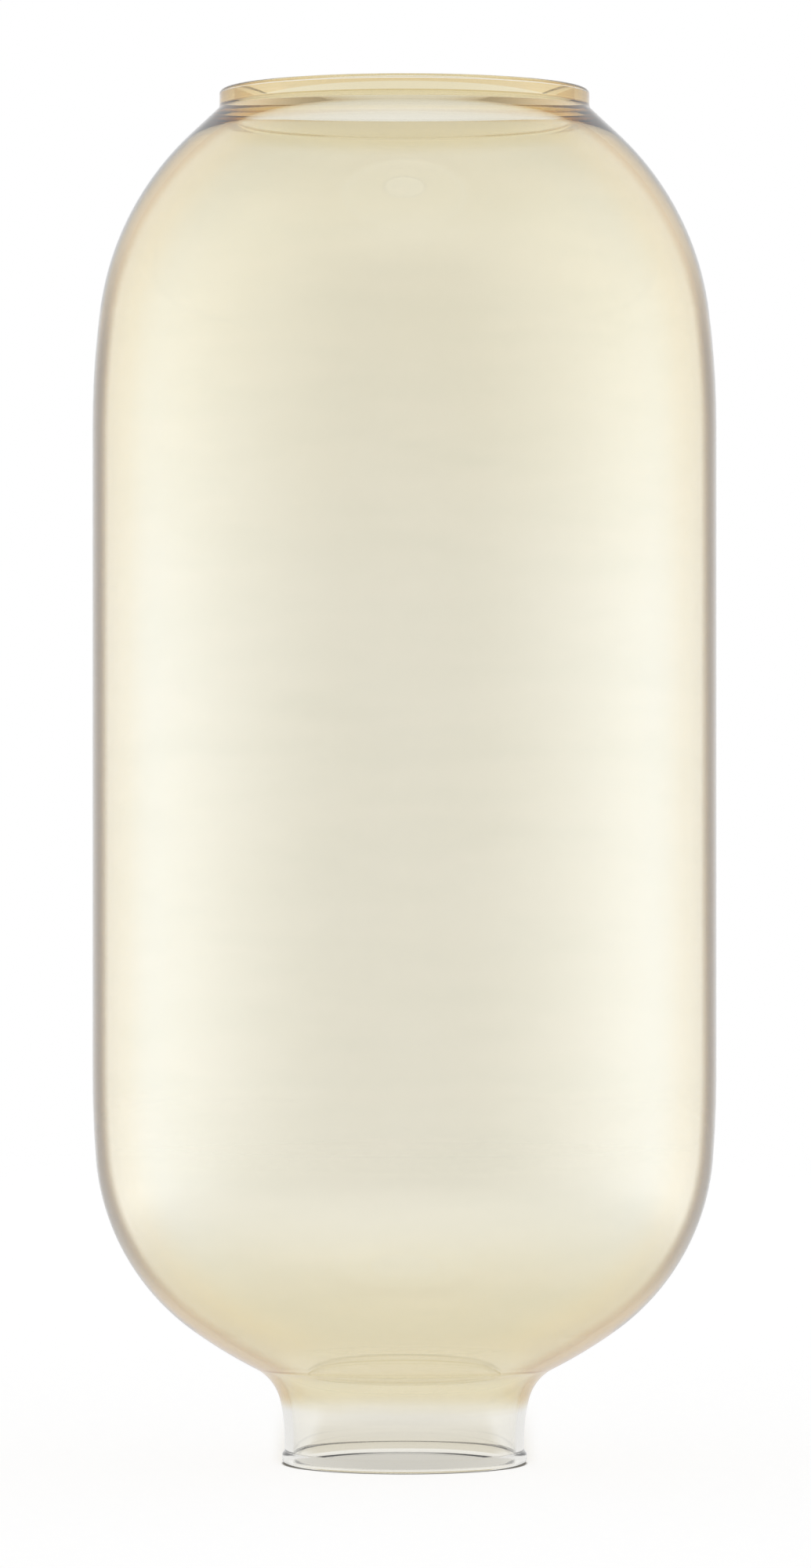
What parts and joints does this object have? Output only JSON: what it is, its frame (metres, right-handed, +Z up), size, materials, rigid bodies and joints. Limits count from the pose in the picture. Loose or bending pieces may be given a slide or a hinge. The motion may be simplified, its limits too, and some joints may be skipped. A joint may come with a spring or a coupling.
{
  "type": "glass lamp shade",
  "caption": "Pill-shaped blown-glass lamp shade with a pale amber inner tint, open at its collared mouth and at a lipped fitter neck.",
  "frame": {"origin": "centre of the lower face of the fitter lip, on the shade's axis", "axes": "+Z up the axis from the fitter lip to the mouth; X and Y are equivalent, as the shade is round"},
  "size_m": [0.1458, 0.1458, 0.3208],
  "materials": {
    "clear_glass": "polished",
    "amber_tint": "gloss"
  },
  "bodies": {
    "root": {"glass_shade": "clear_glass", "tint_coating": "amber_tint"}
  },
  "joints": []
}
